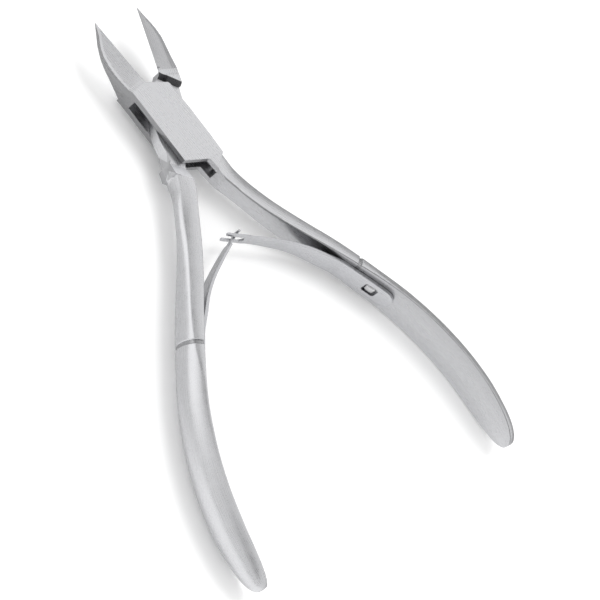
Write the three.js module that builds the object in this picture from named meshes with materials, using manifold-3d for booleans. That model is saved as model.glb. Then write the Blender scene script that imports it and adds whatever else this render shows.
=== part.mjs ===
// Cuticle nipper: box-joint lever pair with two interlocking leaf springs.
// Units: millimetres. +Z is the pivot axis and the front, +Y points to the jaws,
// +X to the female handle. The jaws are open in the rest pose.
// Origin: centre of the overall bounding box, on the mid-plane of the box joint.
// The pivot lies PIVOT_Y above it in +Y; all stations below are measured from the pivot.
import * as THREE from 'three';
import { mergeVertices } from 'three/addons/utils/BufferGeometryUtils.js';
import Module from 'manifold-3d';

const wasm = await Module();
wasm.setup();

// ---------- driving dimensions ----------
const PIVOT_Y = 31.47;        // from the origin to the pivot
const OPEN_ANGLE = THREE.MathUtils.degToRad(13.2); // each lever, from closed to rest pose
const CUT_OVER = 1;           // cutters run this far past the faces they cut

// box joint
const BOX_T = 5.2;            // thickness along Z
const HALF_BOX = BOX_T / 2;
const TONGUE_T = 2.4;         // thickness of the male tongue
const HALF_TONGUE = TONGUE_T / 2;
const SLOT_CLEAR = 0.1;       // gap on each face of the tongue
const SLOT_T = TONGUE_T + 2 * SLOT_CLEAR;
const PIN_R = 1.9;
const PIN_CLEAR = 0.03;       // radial gap between pin and cheeks
const TONGUE_CLEAR = 0.08;    // radial gap between pin and tongue
const EDGE_GAP = 0.04;        // half gap between the cutting edges when closed
const EDGE_Z = HALF_BOX;      // cutting edges are level with the front of the joint
const SHOULDER_DEPTH = HALF_BOX - HALF_TONGUE; // from a box face down to the tongue

// spring leaves
const LEAF_T = 0.75;          // thickness at the foot
const TIP_T = 0.42;           // thickness at the tip
const LEAF_LIFT = 0.06;       // gap between a leaf foot and the handle face
const HINGE_GAP = 0.3;        // gap between leaf foot and leaf arm
const FOOT_END_Y = -49.6;     // lower end of the leaf foot
const TAKEOFF_Y = -38.6;      // the leaf leaves the handle face here

// spring studs
const STUD_Y = -45.15;
const STUD_L = 2.3;           // pad, along the handle
const STUD_W = 2.0;           // pad, across the handle
const STUD_R = 0.85;          // shank radius
const STUD_DEPTH = 1.5;       // depth of the stud hole in the handle
const WINDOW_CLEAR = 0.3;     // gap around the pad in the window of the leaf foot
const WINDOW_L = STUD_L + 2 * WINDOW_CLEAR;
const WINDOW_W = STUD_W + 2 * WINDOW_CLEAR;

// ---------- solids ----------
const vec = (x, y, z) => new THREE.Vector3(x, y, z);
const Z_AXIS = vec(0, 0, 1);

function volume(geometry) {
  const { index, attributes: { position } } = geometry;
  const corner = (i) => vec(0, 0, 0).fromBufferAttribute(position, index.getX(i));
  let total = 0;
  for (let i = 0; i < index.count; i += 3) {
    total += corner(i).dot(corner(i + 1).cross(corner(i + 2))) / 6;
  }
  return total;
}

// turns all triangles over if they face inwards
function outward(geometry) {
  if (volume(geometry) >= 0) return geometry;
  const { index } = geometry;
  for (let i = 0; i < index.count; i += 3) {
    const second = index.getX(i + 1);
    index.setX(i + 1, index.getX(i + 2));
    index.setX(i + 2, second);
  }
  return geometry;
}

// triangles over a flat ring, as indices into the ring
function capTriangles(ring) {
  const origin = ring[0];
  const normal = vec(0, 0, 0);
  for (let j = 1; j < ring.length - 1; j++) {
    normal.add(ring[j].clone().sub(origin).cross(ring[j + 1].clone().sub(origin)));
  }
  normal.normalize();
  const axisU = ring[1].clone().sub(origin).normalize();
  const axisV = normal.clone().cross(axisU);
  const flat = ring.map((point) => {
    const offset = point.clone().sub(origin);
    return new THREE.Vector2(offset.dot(axisU), offset.dot(axisV));
  });
  return THREE.ShapeUtils.triangulateShape(flat, []);
}

// closed solid through a list of rings with equal point counts
function loft(rings) {
  const count = rings[0].length;
  const positions = rings.flat().flatMap((point) => [point.x, point.y, point.z]);
  const indices = [];
  for (let i = 0; i < rings.length - 1; i++) {
    for (let j = 0; j < count; j++) {
      const next = (j + 1) % count;
      const here = i * count;
      const above = here + count;
      indices.push(here + j, here + next, above + next);
      indices.push(here + j, above + next, above + j);
    }
  }
  for (const [p, q, r] of capTriangles(rings[0])) indices.push(p, r, q);
  const last = (rings.length - 1) * count;
  for (const [p, q, r] of capTriangles(rings[rings.length - 1])) {
    indices.push(last + p, last + q, last + r);
  }
  const geometry = new THREE.BufferGeometry();
  geometry.setAttribute('position', new THREE.Float32BufferAttribute(positions, 3));
  geometry.setIndex(indices);
  return solid(outward(geometry));
}

function solid(geometry) {
  geometry.deleteAttribute('normal');
  geometry.deleteAttribute('uv');
  const merged = mergeVertices(geometry, 1e-4);
  return new wasm.Manifold(new wasm.Mesh({
    numProp: 3,
    vertProperties: new Float32Array(merged.attributes.position.array),
    triVerts: new Uint32Array(merged.index.array),
  }));
}

function toGeometry(manifold) {
  const mesh = manifold.getMesh();
  const geometry = new THREE.BufferGeometry();
  geometry.setAttribute('position', new THREE.Float32BufferAttribute(mesh.vertProperties, 3));
  geometry.setIndex(Array.from(mesh.triVerts));
  geometry.computeVertexNormals();
  return geometry;
}

// mirror image across x = 0
const mirror = (manifold) => solid(outward(toGeometry(manifold).scale(-1, 1, 1)));

const turn = (x, y, angle) => [
  x * Math.cos(angle) - y * Math.sin(angle),
  x * Math.sin(angle) + y * Math.cos(angle),
];
const femalePoint = (x, y, z) => vec(...turn(x, y, OPEN_ANGLE), z);
const malePoint = (x, y, z) => vec(...turn(x, y, -OPEN_ANGLE), z);
const maleRing = (outline, z) => outline.map(([x, y]) => malePoint(x, y, z));

// closed-position outline turned to the female rest pose, centred on z = 0
function femalePrism(outline, thickness) {
  const shape = new THREE.Shape(
    outline.map(([x, y]) => new THREE.Vector2(...turn(x, y, OPEN_ANGLE))),
  );
  const geometry = new THREE.ExtrudeGeometry(shape, { depth: thickness, bevelEnabled: false });
  return solid(geometry.translate(0, 0, -thickness / 2));
}

// rod on the pivot axis, centred on z = 0
const pivotRod = (radius, length) =>
  solid(new THREE.CylinderGeometry(radius, radius, length, 40).rotateX(Math.PI / 2));

const pivotHole = (clearance) => pivotRod(PIN_R + clearance, BOX_T + 2 * CUT_OVER);

// ---------- curves and frames ----------
// Catmull-Rom through table rows, at parameter u in 0..rows-1
function rowAt(table, u) {
  const last = table.length - 1;
  const i = Math.min(Math.max(Math.floor(u), 0), last - 1);
  const t = u - i;
  const rows = [table[Math.max(i - 1, 0)], table[i], table[i + 1], table[Math.min(i + 2, last)]];
  return table[i].map((_, column) => {
    const [p0, p1, p2, p3] = rows.map((row) => row[column]);
    const linear = p2 - p0;
    const square = 2 * p0 - 5 * p1 + 4 * p2 - p3;
    const cube = 3 * p1 - p0 - 3 * p2 + p3;
    return 0.5 * (2 * p1 + linear * t + square * t * t + cube * t * t * t);
  });
}

// Frame on a curve whose rows start with x, y. The normal is the direction of travel
// turned a quarter anticlockwise; sizes holds the remaining columns.
function frameAt(table, u) {
  const step = 0.02;
  const [x, y, ...sizes] = rowAt(table, u);
  const before = rowAt(table, Math.max(u - step, 0));
  const after = rowAt(table, Math.min(u + step, table.length - 1));
  const along = vec(after[0] - before[0], after[1] - before[1], 0).normalize();
  return { origin: vec(x, y, 0), along, normal: vec(-along.y, along.x, 0), sizes };
}

const pointIn = (frame, along, out, z) => frame.origin.clone()
  .addScaledVector(frame.along, along)
  .addScaledVector(frame.normal, out)
  .setZ(z);

// solid from geometry with local x along the frame, y on its normal, z on Z
function placed(geometry, { origin, along, normal }) {
  const matrix = new THREE.Matrix4().makeBasis(along, normal, Z_AXIS).setPosition(origin);
  return solid(geometry.applyMatrix4(matrix));
}

// cylinder on the local y axis, from y0 to y1
const cylinderY = (radius, y0, y1, segments) =>
  new THREE.CylinderGeometry(radius, radius, y1 - y0, segments).translate(0, (y0 + y1) / 2, 0);

// ---------- shank and grip ----------
// Handle stations, female side, rest pose:
// x, y of the flat inner face; width of that face; height of the side facets;
// crease-to-crease width of the outer face; bulge of the outer face
const HANDLE = [
  [2.15, -10.9, 5.1, 3.5, 4.95, 0.15],
  [3.20, -14.3, 4.8, 3.4, 4.0, 0.45],
  [4.80, -17.4, 4.4, 3.15, 3.1, 0.7],
  [6.45, -20.6, 4.3, 3.05, 3.0, 0.8],
  [8.60, -24.4, 4.8, 2.95, 3.6, 0.85],
  [11.05, -28.1, 5.6, 2.85, 4.3, 0.85],
  [13.55, -31.7, 6.35, 2.75, 5.0, 0.9],
  [16.10, -35.2, 7.0, 2.6, 5.7, 0.95],
  [18.70, -38.95, 7.6, 2.3, 6.4, 1.15],
  [21.25, -42.75, 8.15, 1.65, 7.3, 1.7],
  [23.75, -46.7, 8.65, 0.75, 8.25, 2.5],
  [26.05, -50.85, 8.95, 0.12, 8.9, 3.1],
  [28.15, -55.6, 9.2, 0.06, 9.18, 3.2],
  [29.98, -60.8, 9.4, 0.05, 9.38, 3.25],
  [31.42, -66.4, 9.5, 0.05, 9.48, 3.25],
  [32.32, -72.4, 9.3, 0.05, 9.28, 3.2],
  [32.58, -77.2, 8.4, 0.05, 8.38, 3.0],
  [32.60, -80.2, 7.2, 0.05, 7.18, 2.8],
  [32.50, -82.4, 5.5, 0.05, 5.48, 2.4],
  [32.40, -83.6, 3.7, 0.05, 3.68, 1.9],
  [32.32, -84.2, 1.8, 0.05, 1.78, 1.1],
];
const HALF_STEPS = { first: 8, last: 11 }; // stations followed by an extra ring halfway
const OUTER_ARC_STEPS = 8;

const GROOVE_Y = -40.9;       // decorative groove
const GROOVE_W = 1.0;
const GROOVE_D = 0.35;

// flat land that faces the other shank: x when closed, and its cutter, closed position
const LAND_X = 0.06;
const LAND_CUT = [[-3, -8.5], [LAND_X, -8.5], [LAND_X, -17], [-3, -17]];
const LAND_CUT_T = 12;

const STUD_HOLE_CLEAR = 0.05; // radial gap around the stud shank

// handle parameter at a given y; y falls as the parameter grows
function handleParam(y) {
  let low = 0;
  let high = HANDLE.length - 1;
  for (let i = 0; i < 50; i++) {
    const middle = (low + high) / 2;
    if (rowAt(HANDLE, middle)[1] > y) low = middle;
    else high = middle;
  }
  return (low + high) / 2;
}

const handleFrame = (y) => frameAt(HANDLE, handleParam(y));
const STUD_FRAME = handleFrame(STUD_Y);

// cross-section as [outward, z]: two corners of the inner face, then the outer arc
function handleSection([width, sideHeight, outerWidth, bulge], shrink = 0) {
  const points = [[0, -width / 2 + shrink], [0, width / 2 - shrink]];
  for (let i = 0; i <= OUTER_ARC_STEPS; i++) {
    const angle = Math.PI * i / OUTER_ARC_STEPS;
    points.push([
      sideHeight + (bulge - shrink) * Math.sin(angle),
      (outerWidth / 2 - shrink) * Math.cos(angle),
    ]);
  }
  return points;
}

function handleBody() {
  const params = HANDLE.flatMap((_, i) =>
    (i >= HALF_STEPS.first && i <= HALF_STEPS.last ? [i, i + 0.5] : [i]));
  return loft(params.map((u) => {
    const frame = frameAt(HANDLE, u);
    return handleSection(frame.sizes).map(([out, z]) => pointIn(frame, 0, out, z));
  }));
}

// Plate with a hole shaped like the shrunken section. The hole runs on past the
// inner face, so that the groove goes round the sides and the outer face only.
function grooveCutter() {
  const plate = [[-1, -8], [9, -8], [9, 8], [-1, 8]];
  const holeStart = -0.9;
  const frame = handleFrame(GROOVE_Y);
  const [cornerBack, cornerFront, ...arc] = handleSection(frame.sizes, GROOVE_D);
  const hole = [[holeStart, cornerBack[1]], ...arc.reverse(), [holeStart, cornerFront[1]]];
  const toPoints = (outline) => outline.map(([out, z]) => new THREE.Vector2(out, z));
  const shape = new THREE.Shape(toPoints(plate));
  shape.holes.push(new THREE.Path(toPoints(hole)));
  const geometry = new THREE.ExtrudeGeometry(shape, { depth: GROOVE_W, bevelEnabled: false });
  geometry.translate(0, 0, -GROOVE_W / 2);
  // local x is the outward normal, local y the Z axis, local z along the handle
  const matrix = new THREE.Matrix4()
    .makeBasis(frame.normal, Z_AXIS, frame.along)
    .setPosition(frame.origin);
  return solid(geometry.applyMatrix4(matrix));
}

function makeHandle() {
  const studHole = cylinderY(STUD_R + STUD_HOLE_CLEAR, -CUT_OVER, STUD_DEPTH, 24);
  return handleBody()
    .subtract(grooveCutter())
    .subtract(femalePrism(LAND_CUT, LAND_CUT_T))
    .subtract(placed(studHole, STUD_FRAME));
}

// ---------- jaw ----------
// Jaw stations in the closed position, female side (the jaw lies at negative x):
// y, width from the closing plane, z of the outer crease, z of the back,
// 1 where the inner face is bevelled
const JAW = [
  [5.6, 4.03, 2.60, -2.60, 0],
  [7.5, 3.99, 2.60, -2.60, 0],
  [8.5, 4.10, 2.44, -2.35, 1],
  [9.6, 4.22, 2.26, -1.80, 1],
  [11.4, 4.26, 1.98, -0.90, 1],
  [13.5, 4.22, 1.82, -0.05, 1],
  [15.6, 3.90, 1.85, 0.60, 1],
  [17.1, 3.34, 1.95, 1.00, 1],
  [18.4, 2.64, 2.08, 1.30, 1],
  [19.9, 1.60, 2.25, 1.72, 1],
  [21.1, 0.78, 2.42, 2.10, 1],
  [22.0, 0.16, 2.50, 2.40, 1],
];
const WIDEN_END_Y = 14;       // extra root width fades to nothing here
const WIDEN_FADE = 5;         // length of the fade
const MALE_JAW_WIDEN = 0.42;  // extra root width of the male jaw

// ring of one station, as [x, z]
function jawSection(width, creaseZ, backZ, bevelled) {
  // hollow of the front face, and rounding of the outer back corner
  const sag = bevelled ? Math.min(0.28, 0.1 * width) : 0;
  const round = bevelled ? Math.min(0.35, (creaseZ - backZ) * 0.4) : 0.03;
  const bevelX = bevelled ? -Math.min(0.72 * width, 0.85 * (EDGE_Z - backZ)) : -EDGE_GAP;
  const bevelHollow = bevelled ? 0.05 : 0;
  const sideX = -0.96 * width;
  const front = [0, 0.25, 0.5, 0.75, 1].map((t) => [
    -EDGE_GAP + (EDGE_GAP - width) * t,
    EDGE_Z + (creaseZ - EDGE_Z) * t - sag * 4 * t * (1 - t),
  ]);
  return [
    ...front,
    [-0.995 * width, (creaseZ + backZ + round) / 2],
    [sideX, backZ + round],
    [(sideX + bevelX) / 2, backZ],
    [bevelX, backZ],
    [(bevelX - EDGE_GAP) / 2 + bevelHollow, (backZ + EDGE_Z) / 2],
  ];
}

// jaw in the female rest pose; widen is the extra width at its root
function makeJaw(widen) {
  return loft(JAW.map(([y, width, creaseZ, backZ, bevelled]) => {
    const extra = widen * THREE.MathUtils.clamp((WIDEN_END_Y - y) / WIDEN_FADE, 0, 1);
    return jawSection(width + extra, creaseZ, backZ, bevelled)
      .map(([x, z]) => femalePoint(x, y, z));
  }));
}

// ---------- female lever: jaw, two cheeks, shank and grip ----------
// outlines x, y in the closed position
const CHEEK = [
  [-3.99, 7.5], [-4.06, 5.3], [-4.4, -0.7], [-4.72, -6.74], [-4.8, -8.1], [-1.96, -9.7],
  [-0.5, -10.5], [0.02, -10.85], [0.12, -11.4], [0.12, -13.3], [0.7, -12.8], [3.45, -11.4],
  [3.77, -7.46], [4.1, -1.36], [4.12, 3.0], [4.25, 4.6], [4.1, 5.1], [1.21, 6.9],
  [0.1, 7.6], [-EDGE_GAP, 7.8],
];
const SLOT = [
  [-7, 6.05], [-3.2, 6.05], [-2.0, 7.5], [-0.3, 8.3], [1.0, 9.8], [7, 9.8], [7, -7.2],
  [3.4, -8.0], [1.9, -10.8], [1.2, -12.6], [0.06, -13.6], [-1.2, -13.7], [-7, -13.7],
];

function femaleLever(handle) {
  return femalePrism(CHEEK, BOX_T)
    .add(makeJaw(0))
    .add(handle)
    .subtract(femalePrism(SLOT, SLOT_T))
    .subtract(pivotHole(PIN_CLEAR));
}

// ---------- male lever: jaw, tongue, shank and grip ----------
// Outlines x, y in the closed position; the male handle lies at negative x.
// The outer edge of the tongue differs front and back, the rest is common.
const TONGUE_COMMON = [
  [-2.75, 1.2], [-2.5, 3.6], [-1.5, 6.7], [0.3, 7.75], [1.15, 9.1], [3.5, 9.1], [4.4, 6.6],
  [4.2, 2.5], [3.9, -1.5], [0.35, -8.9], [-0.1, -10.2], [-0.12, -14.0], [-3.2, -13.0],
];
const TONGUE_EDGE_FRONT = [[-3.4, -11.4], [-2.75, -9.0], [-3.1, -6.8], [-3.7, -4.2], [-3.8, -1.7]];
const TONGUE_EDGE_BACK = [[-3.6, -11.4], [-3.75, -9.2], [-3.55, -6.8], [-3.8, -4.8], [-3.85, -3.0]];
const SHANK_BACK = [[-3.66, -8.6], [-0.12, -10.3], [-0.12, -13.15], [-3.6, -11.6]];
const SHANK_FRONT = [[-2.75, -8.6], [-0.12, -10.3], [-0.12, -13.15], [-3.5, -11.6]];

// jaw trim at the box faces: edge that leans with depth, closed off by two fixed corners
const TRIM_LEANING = [[-2, 8.75], [EDGE_GAP, 8.75], [0.8, 8.25], [4.6, 6.0], [8, 4.0]];
const TRIM_START = [-2, -3];
const TRIM_END = [8, -3];
const TRIM_LEAN = [-0.4, -0.55]; // shift of the edge from a box face to the tongue

// inclined shoulders between tongue and shank: foot line at tongue level,
// run from there to full thickness, side along Z
const SHOULDERS = [
  { side: 1, foot: [[-6.2, -7.5], [2.7, -12.05]], run: [-0.72, -2.35] },
  { side: -1, foot: [[-6.2, -7.5], [2.7, -12.7]], run: [-0.16, -0.5] },
];
const SHOULDER_OVER = 1.5;    // cutter height, in shoulder depths
const SHOULDER_REACH = [0.9, 2.5]; // cutter extent from the foot line towards the jaws

function jawTrimRing(z) {
  const depth = (HALF_BOX - Math.abs(z)) / SHOULDER_DEPTH;
  const edge = TRIM_LEANING.map(([x, y]) => [x + TRIM_LEAN[0] * depth, y + TRIM_LEAN[1] * depth]);
  return maleRing([TRIM_START, ...edge, TRIM_END], z);
}

// clears the jaw root along the inclined shoulder that faces the cheeks
function jawTrim() {
  const end = HALF_BOX + CUT_OVER;
  const back = loft([jawTrimRing(-end), jawTrimRing(-HALF_TONGUE)]);
  const middle = loft([jawTrimRing(-HALF_TONGUE), jawTrimRing(HALF_TONGUE)]);
  const front = loft([jawTrimRing(HALF_TONGUE), jawTrimRing(end)]);
  return back.add(middle).add(front);
}

function shoulderCutter({ side, foot, run }) {
  const top = HALF_TONGUE + SHOULDER_DEPTH * SHOULDER_OVER;
  return loft(foot.map(([x, y]) => {
    const farX = x + SHOULDER_REACH[0];
    const farY = y + SHOULDER_REACH[1];
    return [
      malePoint(x, y, HALF_TONGUE * side),
      malePoint(x + run[0] * SHOULDER_OVER, y + run[1] * SHOULDER_OVER, top * side),
      malePoint(farX, farY, top * side),
      malePoint(farX, farY, HALF_TONGUE * side),
    ];
  }));
}

function maleLever(handle) {
  const tongue = loft([
    maleRing([...TONGUE_EDGE_BACK, ...TONGUE_COMMON], -HALF_TONGUE),
    maleRing([...TONGUE_EDGE_FRONT, ...TONGUE_COMMON], HALF_TONGUE),
  ]);
  const shank = loft([maleRing(SHANK_BACK, -HALF_BOX), maleRing(SHANK_FRONT, HALF_BOX)]);
  let lever = mirror(handle)
    .add(mirror(makeJaw(MALE_JAW_WIDEN)).subtract(jawTrim()))
    .add(tongue)
    .add(shank);
  for (const shoulder of SHOULDERS) lever = lever.subtract(shoulderCutter(shoulder));
  return lever.subtract(pivotHole(TONGUE_CLEAR));
}

// ---------- spring leaves, built on the female side ----------
// free part of a leaf, centreline, rest pose: x, y, width
const LEAF_FREE = [
  [15.55, -36.15, 4.75],
  [13.45, -33.95, 4.35],
  [11.75, -32.45, 3.95],
  [10.00, -31.10, 3.70],
  [8.20, -29.95, 3.50],
  [6.35, -28.85, 3.30],
  [4.50, -27.80, 3.12],
  [2.60, -26.80, 3.0],
];
const CROSSING = [0, -25.45, 2.9]; // the two leaves cross here: x, y, width
const FOOT_W = 4.9;
const FOOT_STEPS = 6;         // steps of the centreline along the handle face

// centreline of a leaf from foot end to the crossing
function leafPath() {
  const start = handleParam(FOOT_END_Y);
  const end = handleParam(TAKEOFF_Y);
  const foot = [];
  for (let i = 0; i <= FOOT_STEPS; i++) {
    const frame = frameAt(HANDLE, start + (end - start) * i / FOOT_STEPS);
    const point = pointIn(frame, 0, -(LEAF_LIFT + LEAF_T / 2), 0);
    foot.push([point.x, point.y, FOOT_W]);
  }
  return [...foot, ...LEAF_FREE, CROSSING];
}

const LEAF = leafPath();
const U_TAKEOFF = FOOT_STEPS;
const U_FLEX = U_TAKEOFF + 2; // the leaf is divided at the second free station
const U_END = LEAF.length - 1;
const FLEX_FRAME = frameAt(LEAF, U_FLEX);
const TIP_FRAME = frameAt(LEAF, U_END);

// rectangle across the leaf, offset along it from the frame
function leafRing(frame, along, thickness, width) {
  const h = thickness / 2;
  const w = width / 2;
  return [[-h, -w], [-h, w], [h, w], [h, -w]].map(([out, z]) => pointIn(frame, along, out, z));
}

function leafStrip(start, end, steps) {
  const rings = [];
  for (let i = 0; i <= steps; i++) {
    const u = start + (end - start) * i / steps;
    const frame = frameAt(LEAF, u);
    const taper = THREE.MathUtils.clamp((u - U_TAKEOFF) / (U_END - U_TAKEOFF), 0, 1);
    rings.push(leafRing(frame, 0, LEAF_T + (TIP_T - LEAF_T) * taper, frame.sizes[0]));
  }
  return loft(rings);
}

// clears one side of the dividing line: 1 towards the tip, -1 towards the foot
function flexCutter(side) {
  const length = 40;
  const box = new THREE.BoxGeometry(length, 12, 14);
  return placed(box.translate(side * (length / 2 - HINGE_GAP / 2), 0, 0), FLEX_FRAME);
}

// what the rounded foot end keeps: a disc at the end and everything beyond its centre
function footEndKeep() {
  const frame = frameAt(LEAF, 0);
  const radius = frame.sizes[0] / 2;
  const height = LEAF_T * 6;
  const length = 30;
  const disc = new THREE.CylinderGeometry(radius, radius, height, 40).translate(radius, 0, 0);
  const rest = new THREE.BoxGeometry(length, height, 12).translate(length / 2 + radius, 0, 0);
  return placed(rest, frame).add(placed(disc, frame));
}

function springFoot() {
  const window = new THREE.BoxGeometry(WINDOW_L, 4, WINDOW_W);
  return leafStrip(0, U_FLEX, 16)
    .subtract(flexCutter(1))
    .intersect(footEndKeep())
    .subtract(placed(window, STUD_FRAME));
}

// Leaf tips. IN is a distance before the crossing, OUT one beyond it.
const FORK_ROOT_IN = 3.0;     // the plain arm ends here
const FORK_OVERLAP = 0.1;     // fork blank into the arm
const FORK_IN = 2.25;         // crotch of the fork
const FORK_OUT = 2.0;         // end of the tines
const FORK_W = 3.4;           // width over the tines
const FORK_SLOT = 1.8;        // slot between the tines
const NECK_IN = 2.05;         // the neck of the T starts here
const NECK_OVERLAP = 0.2;     // neck into the arm
const NECK_W = 1.15;
const HEAD_START_OUT = 0.95;  // near side of the T head
const HEAD_END_OUT = 1.4;     // far side of the T head
const HEAD_W = 3.0;
const TIP_CUT = { reach: 3, width: 8, thickness: 3 }; // cutter beyond, across, through leaf

// box in the frame of the crossing, from start to end along the leaf
const tipBox = (start, end, width, thickness = TIP_T) => loft(
  [start, end].map((along) => leafRing(TIP_FRAME, along, thickness, width)),
);

// arm that ends a given distance before the crossing
function plainArm(endIn) {
  return leafStrip(U_FLEX, U_END, 18)
    .subtract(flexCutter(-1))
    .subtract(tipBox(-endIn, TIP_CUT.reach, TIP_CUT.width, TIP_CUT.thickness));
}

// arm that ends in a two-tine fork
function forkArm() {
  return plainArm(FORK_ROOT_IN)
    .add(tipBox(-FORK_ROOT_IN - FORK_OVERLAP, FORK_OUT, FORK_W))
    .subtract(tipBox(-FORK_IN, FORK_OUT + CUT_OVER, FORK_SLOT, TIP_CUT.thickness));
}

// arm that ends in a neck and T head
function teeArm() {
  return plainArm(NECK_IN)
    .add(tipBox(-NECK_IN - NECK_OVERLAP, HEAD_END_OUT, NECK_W))
    .add(tipBox(HEAD_START_OUT, HEAD_END_OUT, HEAD_W));
}

// ---------- spring studs ----------
const PAD_T = LEAF_T + 0.1;   // the pad is a little thicker than the leaf
const PAD_GAP = 0.02;         // between handle face and pad
const SHANK_OVERLAP = 0.3;    // stud shank into the pad
const SHANK_END_GAP = 0.1;    // hole depth left by the shank, before PAD_GAP

function springStud() {
  const pad = new THREE.BoxGeometry(STUD_L, PAD_T, STUD_W).translate(0, -PAD_T / 2, 0);
  const shank = cylinderY(STUD_R, -SHANK_OVERLAP, STUD_DEPTH - SHANK_END_GAP, 20);
  const [padSolid, shankSolid] = [pad, shank]
    .map((part) => placed(part.translate(0, -PAD_GAP, 0), STUD_FRAME));
  return padSolid.add(shankSolid);
}

// ---------- assembly ----------
// steel finishes: colour and roughness of each kind of piece
const FINISH = {
  femaleLever: { color: 0xd4d5d8, roughness: 0.32 },
  maleLever: { color: 0xcdced2, roughness: 0.32 },
  pin: { color: 0xc4c5c8, roughness: 0.3 },
  leaf: { color: 0xb9bac0, roughness: 0.3 },
  stud: { color: 0xc9cace, roughness: 0.28 },
};
const steel = (finish) => new THREE.MeshStandardMaterial({ ...finish, metalness: 1 });

const handle = makeHandle();
const foot = springFoot();
const stud = springStud();
const PIECES = [
  ['female_lever', femaleLever(handle), FINISH.femaleLever],
  ['male_lever', maleLever(handle), FINISH.maleLever],
  ['pivot_pin', pivotRod(PIN_R, BOX_T), FINISH.pin],
  ['right_spring_foot', foot, FINISH.leaf],
  ['right_spring_arm', forkArm(), FINISH.leaf],
  ['right_spring_stud', stud, FINISH.stud],
  ['left_spring_foot', mirror(foot), FINISH.leaf],
  ['left_spring_arm', mirror(teeArm()), FINISH.leaf],
  ['left_spring_stud', mirror(stud), FINISH.stud],
];

const group = new THREE.Group();
for (const [name, manifold, finish] of PIECES) {
  const mesh = new THREE.Mesh(toGeometry(manifold), steel(finish));
  mesh.name = name;
  mesh.position.set(0, PIVOT_Y, 0);
  group.add(mesh);
}

export default group;
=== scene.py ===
"""Looks of a cuticle nipper in satin steel: two box-joint levers, a flush pivot pin, two leaf springs.

Shapes are built in mm from the pivot: jaws towards +Y, grips towards -Y, thickness along Z, floor
below. Every part is drawn for the female lever, whose grip lies at +X, and mirrored in X for the
male one. Jaw and joint are drawn in the closed frame, where the jaws meet at x = 0, then turned open.
"Outer" is away from the other lever.
"""
import math

import bmesh
import bpy
import numpy as np
from mathutils import Matrix, Vector


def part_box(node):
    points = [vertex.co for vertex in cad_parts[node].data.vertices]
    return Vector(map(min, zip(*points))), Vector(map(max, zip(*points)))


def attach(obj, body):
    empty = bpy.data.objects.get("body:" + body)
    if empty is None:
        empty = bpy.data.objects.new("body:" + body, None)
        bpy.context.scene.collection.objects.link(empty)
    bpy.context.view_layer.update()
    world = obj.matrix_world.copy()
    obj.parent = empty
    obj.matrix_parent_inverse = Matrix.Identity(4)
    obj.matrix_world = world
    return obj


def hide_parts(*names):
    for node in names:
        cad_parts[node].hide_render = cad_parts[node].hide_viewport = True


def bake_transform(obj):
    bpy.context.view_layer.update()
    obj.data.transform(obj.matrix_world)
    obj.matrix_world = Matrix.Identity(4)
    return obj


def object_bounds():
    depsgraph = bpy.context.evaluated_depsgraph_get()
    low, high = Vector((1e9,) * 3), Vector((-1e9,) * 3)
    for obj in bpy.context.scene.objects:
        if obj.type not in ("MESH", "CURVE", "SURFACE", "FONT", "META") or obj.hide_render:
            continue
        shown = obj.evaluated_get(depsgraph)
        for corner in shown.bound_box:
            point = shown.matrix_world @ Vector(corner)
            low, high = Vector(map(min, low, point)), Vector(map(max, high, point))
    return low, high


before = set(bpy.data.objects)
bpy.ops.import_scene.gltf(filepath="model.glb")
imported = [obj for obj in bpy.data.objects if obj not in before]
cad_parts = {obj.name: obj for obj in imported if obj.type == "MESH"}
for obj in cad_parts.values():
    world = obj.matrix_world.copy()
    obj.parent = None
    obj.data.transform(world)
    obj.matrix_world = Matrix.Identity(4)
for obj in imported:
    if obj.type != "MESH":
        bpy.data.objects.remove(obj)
cad_lo, cad_hi = [list(map(float, corner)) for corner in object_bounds()]

# ---------------------------------------------------------------- driving dimensions, mm
pin_lo, pin_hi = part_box("pivot_pin")
PIVOT = (np.array(pin_lo) + np.array(pin_hi)) / 2 * 1000.0
OPEN = math.radians(13.2)          # each lever's turn from closed
JOINT_T, TONGUE_T, SLOT_T = 5.2, 2.4, 2.6
HALF = JOINT_T / 2
CHEEK_T = HALF - TONGUE_T / 2      # from the tongue's face to the joint's face
OVERCUT = 1.0                      # cutters reach this far past the joint's faces
PIN_R = 1.9
PIN_SWELL, FEMALE_BORE, MALE_BORE = 0.003, 0.004, 0.08    # added to the pin's radius
EDGE_GAP, EDGE_Z = 0.04, HALF      # cutting edge: distance from x = 0, and height

LEAF_T, LEAF_TIP_T, LEAF_LIFT = 0.75, 0.42, 0.06
FOOT_W = 4.9
WINDOW_L, WINDOW_W, WINDOW_CORNER = 2.9, 2.6, 0.55
STUD_L, STUD_W, STUD_CORNER = 2.3, 2.0, 0.7
STUD_R, STUD_DEPTH = 0.85, 1.5
STUD_WALL, STUD_DOME = 0.30, 0.60  # head: straight side, then dome
GROOVE_W, GROOVE_D = 1.0, 0.35
GROOVE_Y, STUD_Y, FOOT_END_Y, TAKEOFF_Y = -40.9, -45.15, -49.6, -38.6

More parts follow.
